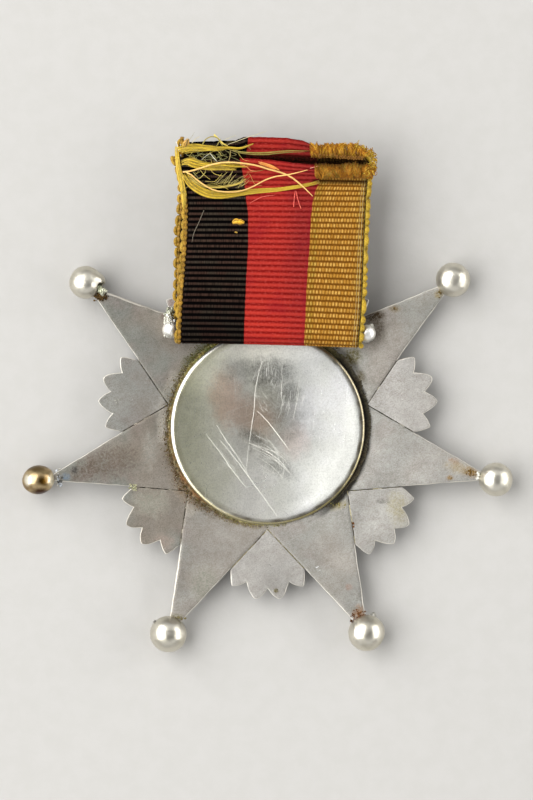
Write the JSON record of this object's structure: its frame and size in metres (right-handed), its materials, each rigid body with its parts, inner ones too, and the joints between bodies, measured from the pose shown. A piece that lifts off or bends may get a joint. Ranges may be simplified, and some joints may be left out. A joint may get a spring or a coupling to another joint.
{
  "type": "order insignia, a breast star with its ribbon",
  "caption": "Silver star with straight arms, ball tips and lobed plates between them, shown from its dished back, with a striped ribbon looped on a bar.",
  "frame": {"origin": "middle of the front face that the star rests on, under the star's centre", "axes": "+Z out of the star's back, +Y along the arm that the ribbon covers, +X to the right as seen from the back"},
  "size_m": [0.0817, 0.0858, 0.0093],
  "materials": {
    "star_silver": "matte tarnished silver",
    "palmette_silver": "matte tarnished silver",
    "ball_silver": "polished silver, lightly tarnished",
    "cap_silver": "brushed silver with scratches",
    "boss_silver": "plain matte silver",
    "bar_silver": "polished silver",
    "ribbon_cloth": "ribbed silk in three stripes, black, red and gold"
  },
  "bodies": {
    "root": {"star_plate": "star_silver", "palmette_1": "palmette_silver", "palmette_2": "palmette_silver", "palmette_3": "palmette_silver", "palmette_4": "palmette_silver", "palmette_5": "palmette_silver", "palmette_6": "palmette_silver", "palmette_7": "palmette_silver", "ball_1": "ball_silver", "ball_2": "ball_silver", "ball_3": "ball_silver", "ball_4": "ball_silver", "ball_5": "ball_silver", "ball_6": "ball_silver", "ball_7": "ball_silver", "back_cap": "cap_silver", "front_boss": "boss_silver", "suspension_bar": "bar_silver", "ribbon": "ribbon_cloth"}
  },
  "joints": []
}
